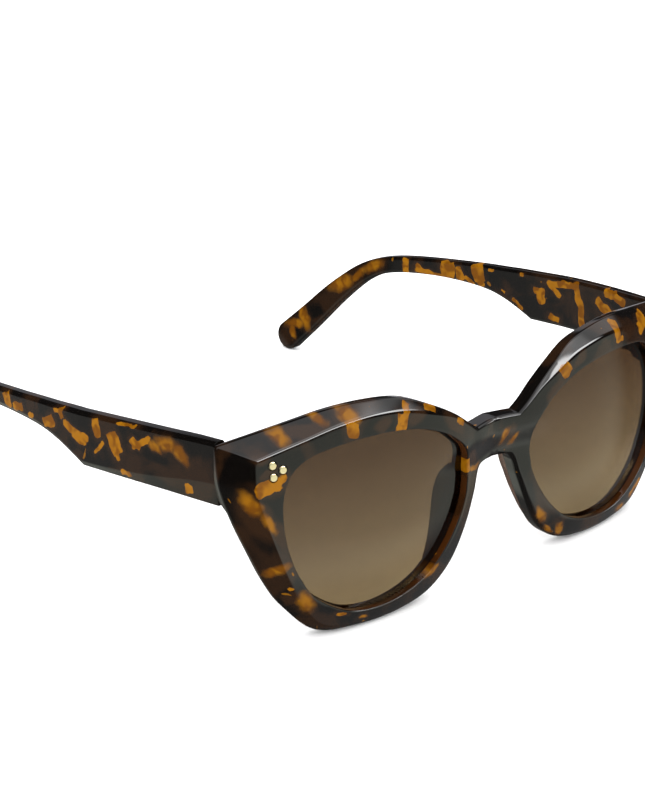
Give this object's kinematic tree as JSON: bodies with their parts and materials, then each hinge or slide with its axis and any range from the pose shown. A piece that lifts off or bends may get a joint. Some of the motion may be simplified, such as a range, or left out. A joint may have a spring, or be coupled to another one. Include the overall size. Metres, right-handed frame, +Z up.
{
  "type": "cat eye sunglasses",
  "caption": "Acetate cat eye sunglasses: bevelled tortoiseshell front, brown gradient lenses, gold corner dots and folding temples on barrel hinges.",
  "frame": {"origin": "middle of the bounding box's floor, on the surface that the rims and temple tips stand on", "axes": "+Z up, +Y backwards from the front towards the temple tips, +X towards the wearer's left"},
  "size_m": [0.1462, 0.1404, 0.049],
  "materials": {
    "tortoiseshell": "polished dark tortoiseshell acetate with amber patches",
    "lens_tint": "brown gradient tint, darker at the top",
    "pad_acetate": "translucent brown acetate",
    "hinge_steel": "satin",
    "gold": "polished gold"
  },
  "bodies": {
    "front": {"front_frame": "tortoiseshell", "lens_left": "lens_tint", "lens_right": "lens_tint", "nose_pad_left": "pad_acetate", "nose_pad_right": "pad_acetate", "rivet_left_1": "gold", "rivet_left_2": "gold", "rivet_left_3": "gold", "rivet_right_1": "gold", "rivet_right_2": "gold", "rivet_right_3": "gold", "front_hinge_left": "hinge_steel", "front_hinge_right": "hinge_steel", "hinge_screw_left": "hinge_steel", "hinge_screw_right": "hinge_steel"},
    "left_arm": {"temple_left": "tortoiseshell", "temple_hinge_left": "hinge_steel", "temple_core_left": "hinge_steel"},
    "right_arm": {"temple_right": "tortoiseshell", "temple_hinge_right": "hinge_steel", "temple_core_right": "hinge_steel"}
  },
  "joints": [
    {"name": "left_temple_fold", "type": "hinge", "parent": "front", "child": "left_arm", "pos_m": [0.0632, -0.05148, 0.03705], "axis": [0, 0.0585, 0.9983], "range_deg": [0, 90]},
    {"name": "right_temple_fold", "type": "hinge", "parent": "front", "child": "right_arm", "pos_m": [-0.0632, -0.05148, 0.03705], "axis": [0, -0.0585, -0.9983], "range_deg": [0, 84]}
  ]
}
